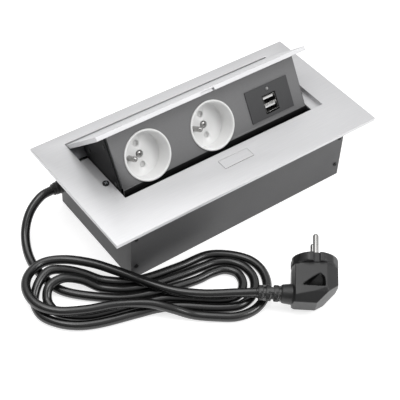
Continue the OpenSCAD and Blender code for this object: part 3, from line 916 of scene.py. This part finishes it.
def shell_ring(name, half_x, half_y, wall, radius, low, high, at):
    """A thin rectangular tube with round corners, open at both ends."""
    bm = bmesh.new()
    loops = []
    for inset, z in ((0, low), (0, high - 0.15), (0.12, high), (wall, high), (wall, low)):
        loop = []
        for cx, cy, start in ((1, 1, 0), (-1, 1, 90), (-1, -1, 180), (1, -1, 270)):
            r = max(radius - inset, 0.15)
            for k in range(5):
                a = math.radians(start + 22.5 * k)
                x = at[0] + cx * (half_x - radius) + r * math.cos(a)
                y = at[1] + cy * (half_y - radius) + r * math.sin(a)
                loop.append(bm.verts.new(Vector((x, y, z)) * MM))
        loops.append(loop)
    for a, b in zip(loops, loops[1:] + loops[:1]):
        for k in range(len(a)):
            n = (k + 1) % len(a)
            bm.faces.new((a[k], a[n], b[n], b[k]))
    return from_bmesh(name, bm)


def add_usb():
    shells = [
        shell_ring("shell", 6.6, 3.3, 0.35, 0.8, -17, 0.3, (0, row * PORT_ROW)) for row in (-1, 1)
    ]
    frame_part = block("frame", (-6.6, -7.7, -17), (6.6, 7.7, -12.6))
    strip = block("strip", (-6.2, -0.55, -12.6), (6.2, 0.55, -0.1))
    sides = [
        block("side", (s * 6.35 - 0.25, -1.2, -12.6), (s * 6.35 + 0.25, 1.2, -0.1)) for s in (-1, 1)
    ]
    springs = []
    for row in (-1, 1):
        for s in (-1, 1):
            for x in (-3, 3):
                y = row * PORT_ROW + s * 2.75
                springs.append(
                    hull(
                        "spring",
                        [
                            (x + a * 1.0, y + b, z)
                            for a in (-1, 1)
                            for b, z in ((0.25 * s, -1.4), (-0.55 * s, -3.2), (0.25 * s, -6.5))
                        ],
                    )
                )
    metal = merge("usb_shells", [*shells, strip, *sides, *springs])
    frame_part.name = "usb_port_backs"
    frame_part.data.transform(PORTS)
    dress(soften(frame_part, 0.2, 2), "usb_connector", MATERIALS["black_nylon"])
    metal.data.transform(PORTS)
    dress(soften(metal, 0.06, 1, 50), "usb_connector")
    tongues = [
        block("tongue", (-5.4, row * PORT_ROW + 0.45, -12.7), (5.4, row * PORT_ROW + 2.25, -1.1))
        for row in (-1, 1)
    ]
    plastic = merge("usb_tongues", tongues)
    plastic.data.transform(PORTS)
    dress(soften(plastic, 0.2, 2), "usb_connector", MATERIALS["white_plastic"])
    strips = []
    for row in (-1, 1):
        for k in range(4):
            x = -3.5 + 7 / 3 * k
            low = row * PORT_ROW + 0.32
            strips.append(block("contact", (x - 0.45, low, -10), (x + 0.45, low + 0.2, -1.9)))
    gold = merge("usb_contacts", strips)
    gold.data.transform(PORTS)
    dress(soften(gold, 0.05, 1), "usb_connector", MATERIALS["nickel"])


add_usb()
# The USB plate's sides are painted black as a painted shadow line round it.
repaint(rounded("usb_plate", 0.2, 3), MATERIALS["black_nylon"], usb_sides_painted_shadow)
rounded("usb_circuit_board", 0.1, 2)


# ---- Room and light ----


def add_floor():
    mesh = bpy.data.meshes.new("floor")
    half, level = 4, -0.0001
    mesh.from_pydata(
        [(-half, -half, level), (half, -half, level), (half, half, level), (-half, half, level)],
        [],
        [(0, 1, 2, 3)],
    )
    floor = link("floor", mesh)
    pale = bpy.data.materials.new("pale_floor")
    pale.use_nodes = True
    shader = pale.node_tree.nodes["Principled BSDF"]
    shader.inputs["Base Color"].default_value = (0.6, 0.6, 0.6, 1)
    shader.inputs["Roughness"].default_value = 0.9
    shader.inputs["Specular IOR Level"].default_value = 0.1
    shader.inputs["Emission Color"].default_value = (1, 1, 1, 1)
    shader.inputs["Emission Strength"].default_value = 0.72
    mesh.materials.append(pale)


def add_world():
    """A soft white room, brighter above and to the right."""
    world = bpy.data.worlds.new("room")
    bpy.context.scene.world = world
    world.use_nodes = True
    tree = world.node_tree
    tree.nodes.clear()
    out = tree.nodes.new("ShaderNodeOutputWorld")
    back = tree.nodes.new("ShaderNodeBackground")
    coord = tree.nodes.new("ShaderNodeTexCoord")
    dot = tree.nodes.new("ShaderNodeVectorMath")
    dot.operation = "DOT_PRODUCT"
    dot.inputs[1].default_value = Vector((0.55, 0.05, 0.85)).normalized()
    level = tree.nodes.new("ShaderNodeMapRange")
    level.inputs["From Min"].default_value = -0.5
    level.inputs["From Max"].default_value = 0.9
    level.inputs["To Min"].default_value = 0.08
    level.inputs["To Max"].default_value = 1.0
    join(
        tree,
        (coord.outputs["Generated"], dot.inputs[0]),
        (dot.outputs["Value"], level.inputs["Value"]),
        (level.outputs["Result"], back.inputs["Strength"]),
        (back.outputs["Background"], out.inputs["Surface"]),
    )


def add_light(name, at, aim, size, energy):
    data = bpy.data.lights.new(name, "AREA")
    data.shape = "DISK"
    data.size = size
    data.energy = energy
    lamp = bpy.data.objects.new(name, data)
    bpy.context.scene.collection.objects.link(lamp)
    lamp.location = at
    lamp.rotation_euler = (Vector(aim) - Vector(at)).to_track_quat("-Z", "Y").to_euler()


add_floor()
add_world()
add_light("key", (0.55, -0.85, 1.0), (0, -0.05, 0.03), 0.6, 5.5)
add_light("top", (-0.1, 0.25, 1.3), (0, 0, 0.05), 1.2, 6)
add_light("left", (-0.5, -0.05, 1.2), (-0.05, 0, 0.05), 0.5, 1.8)
bpy.context.scene.view_settings.view_transform = "Standard"

bpy.context.view_layer.update()
